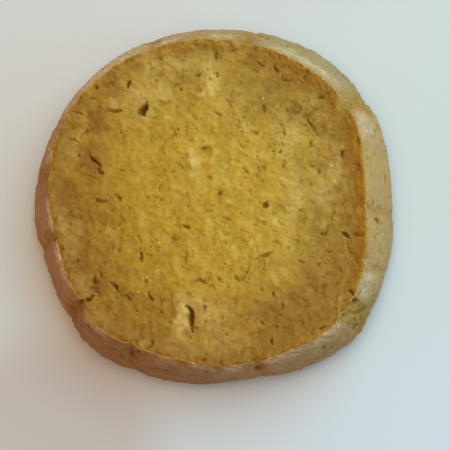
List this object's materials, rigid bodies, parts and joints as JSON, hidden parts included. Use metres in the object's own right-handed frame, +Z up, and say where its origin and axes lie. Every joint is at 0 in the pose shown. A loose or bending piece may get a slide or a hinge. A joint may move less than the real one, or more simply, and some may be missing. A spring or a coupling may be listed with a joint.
{
  "type": "diamond cookie",
  "caption": "Thick round slice-and-bake butter cookie with a sugared wall that flares to the foot, a low browned rim round a crumbly golden face, and a flat underside.",
  "frame": {"origin": "on the flat underside, below the middle of the cookie's bounding box", "axes": "+Z up out of the browned face; the picture's right is +X and its top is +Y"},
  "size_m": [0.0474, 0.0462, 0.0104],
  "materials": {
    "baked_dough": "matt"
  },
  "bodies": {
    "root": {"cookie": "baked_dough"}
  },
  "joints": []
}
